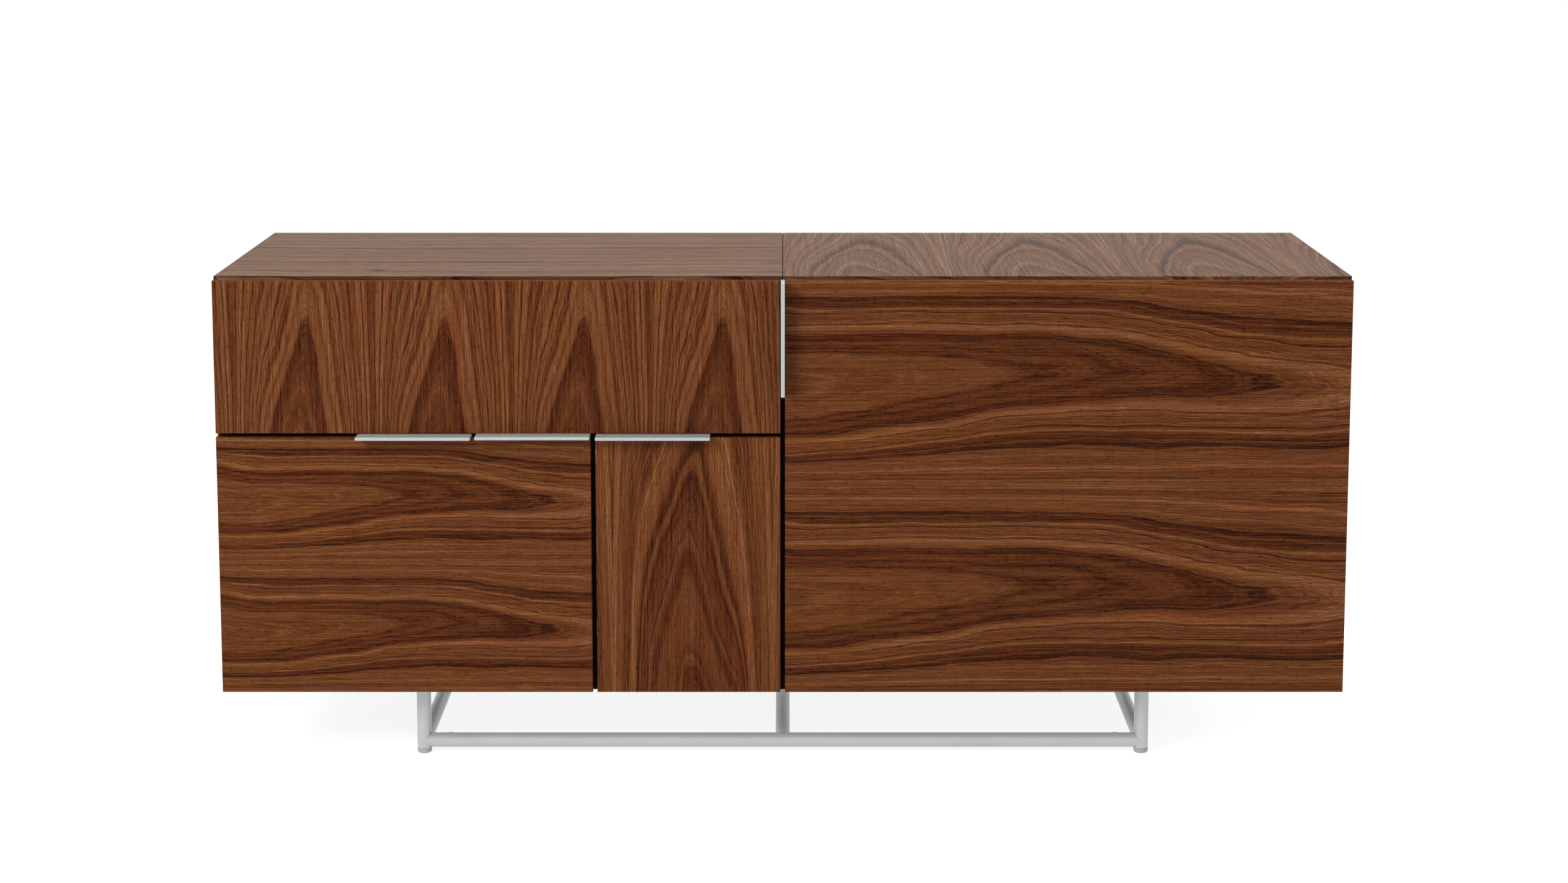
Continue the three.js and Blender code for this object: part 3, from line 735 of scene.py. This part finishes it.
def add_door_pieces(door):
    """Screws in a door's hinges, and the bumpers on its closing edge."""
    door_low, door_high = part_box(f"{door}_door_front")
    arm_screws = []
    cup_screws = []
    for place in ("lower", "upper"):
        low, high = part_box(f"{door}_hinge_arm_{place}")
        z = (low.z + high.z) / 2
        for dz in (-ARM_PLATE_SCREWS, ARM_PLATE_SCREWS):
            point = (high.x - ARM_PLATE_THICKNESS, high.y - ARM_PLATE_SCREW_BACK, z + dz)
            arm_screws.append((point, LEFT))
        for dy in ARM_BAR_SCREWS:
            arm_screws.append(((high.x - ARM_BAR_HEIGHT, high.y - dy, z), LEFT))
        cup_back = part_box(f"{door}_hinge_cup_{place}")[1].y
        for dz in (-CUP_SCREWS_ASIDE, CUP_SCREWS_ASIDE):
            cup_screws.append(((door_high.x - CUP_SCREWS_FROM_EDGE, cup_back, z + dz), Y))
    arm_head = screw_head(*ARM_SCREW)
    cup_head = screw_head(*CUP_SCREW)
    piece(f"{door}_hinge_arm_screws", "carcass", zinc, arm_head, arm_screws)
    piece(f"{door}_hinge_cup_screws", f"{door}_door", zinc, cup_head, cup_screws)

    heights = (door_low.z + BUMPER_FROM_FOOT, door_high.z - BUMPER_FROM_HEAD)
    dots = [((door_low.x + BUMPER_FROM_SIDE, door_high.y, z), Y) for z in heights]
    piece(f"{door}_door_bumpers", f"{door}_door", rubber, dome(*BUMPER), dots)


def add_pull_screws():
    """Low screw heads that hold each pull to the edge of its front."""
    head = screw_head(*PULL_SCREW)
    for body, direction in (("top_drawer", DOWN), ("file_drawer", Z), ("centre_door", Z)):
        low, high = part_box(f"{body}_pull")
        y = high.y - PULL_SCREW_FROM_BACK
        z = high.z if direction == Z else low.z
        places = [((x, y, z), direction) for x in (low.x + PULL_SCREW_FROM_END, high.x - PULL_SCREW_FROM_END)]
        piece(f"{body}_pull_screws", body, zinc, head, places)
    low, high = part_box("right_door_pull")
    y = high.y - PULL_SCREW_FROM_BACK
    places = [((low.x, y, z), LEFT) for z in (low.z + PULL_SCREW_FROM_END, high.z - PULL_SCREW_FROM_END)]
    piece("right_door_pull_screws", "right_door", zinc, head, places)


def seen_directly(g):
    """1 for camera, mirror and see-through rays, 0 for the rays that light other surfaces."""
    rays = g.node("ShaderNodeLightPath").outputs
    either = g.math("MAXIMUM", rays["Is Camera Ray"], rays["Is Glossy Ray"])
    return g.math("MAXIMUM", either, rays["Is Transmission Ray"])


def add_floor():
    """A pale paper floor. It glows, so that it fades into the white background and keeps a soft shadow. Its
    lesser glow for the rays that light other surfaces is painted light, which lights the object from below.
    """
    mesh = bpy.data.meshes.new("floor")
    corners = [(-1, -1), (1, -1), (1, 1), (-1, 1)]
    mesh.from_pydata([(x * FLOOR_REACH, y * FLOOR_REACH, 0) for x, y in corners], [], [(0, 1, 2, 3)])
    floor = bpy.data.objects.new("floor", mesh)
    bpy.context.scene.collection.objects.link(floor)
    g = material_graph("studio_floor")
    paper = g.noise(g.place(), detail=2.0, scale=3.0)
    lighting = g.ramp(paper, [(0.3, (0.40, 0.40, 0.40)), (0.7, (0.41, 0.41, 0.41))])
    shown = g.ramp(paper, [(0.3, (0.34, 0.34, 0.34)), (0.7, (0.35, 0.35, 0.35))])
    seen = seen_directly(g)
    strength = g.affine(seen, FLOOR_GLOW_SEEN - FLOOR_GLOW_LIGHTING, FLOOR_GLOW_LIGHTING)
    paint = g.node("ShaderNodeBsdfDiffuse", {"Color": g.blend(seen, lighting, shown)}).outputs[0]
    glow = g.node("ShaderNodeEmission", {"Color": WHITE, "Strength": strength}).outputs[0]
    mesh.materials.append(g.finish(g.node("ShaderNodeAddShader", (paint, glow)).outputs[0]))


def add_world():
    """A white background that lights the object more softly than it shows."""
    world = bpy.data.worlds.new("studio")
    bpy.context.scene.world = world
    g = Graph(world)
    strength = g.affine(seen_directly(g), SKY_SEEN - SKY_LIGHTING, SKY_LIGHTING)
    sky = g.node("ShaderNodeBackground", {"Color": WHITE, "Strength": strength}).outputs[0]
    g.node("ShaderNodeOutputWorld", (sky,))


def add_softbox(name, place, aim, size, power):
    """A rectangular lamp that mirrors don't show."""
    light = bpy.data.lights.new(name, "AREA")
    light.shape = "RECTANGLE"
    light.size, light.size_y = size
    light.energy = power
    lamp = bpy.data.objects.new(name, light)
    lamp.location = place
    lamp.rotation_euler = (Vector(aim) - Vector(place)).to_track_quat("-Z", "Y").to_euler()
    lamp.visible_glossy = False
    bpy.context.scene.collection.objects.link(lamp)


def add_camera():
    data = bpy.data.cameras.new("camera")
    data.lens = CAMERA_LENS
    data.sensor_width = CAMERA_SENSOR
    data.shift_y = CAMERA_SHIFT
    camera = bpy.data.objects.new("camera", data)
    camera.location = CAMERA_AT
    camera.rotation_euler = (math.radians(90 - CAMERA_PITCH), 0.0, 0.0)
    bpy.context.scene.collection.objects.link(camera)
    bpy.context.scene.camera = camera


add_base_pieces()
add_carcass_pieces()
add_door_pieces("centre")
add_door_pieces("right")
add_pull_screws()
add_floor()
add_world()
for lamp_name, setting in SOFTBOXES.items():
    add_softbox(lamp_name, *setting)
add_camera()
bpy.context.scene.view_settings.view_transform = "Standard"
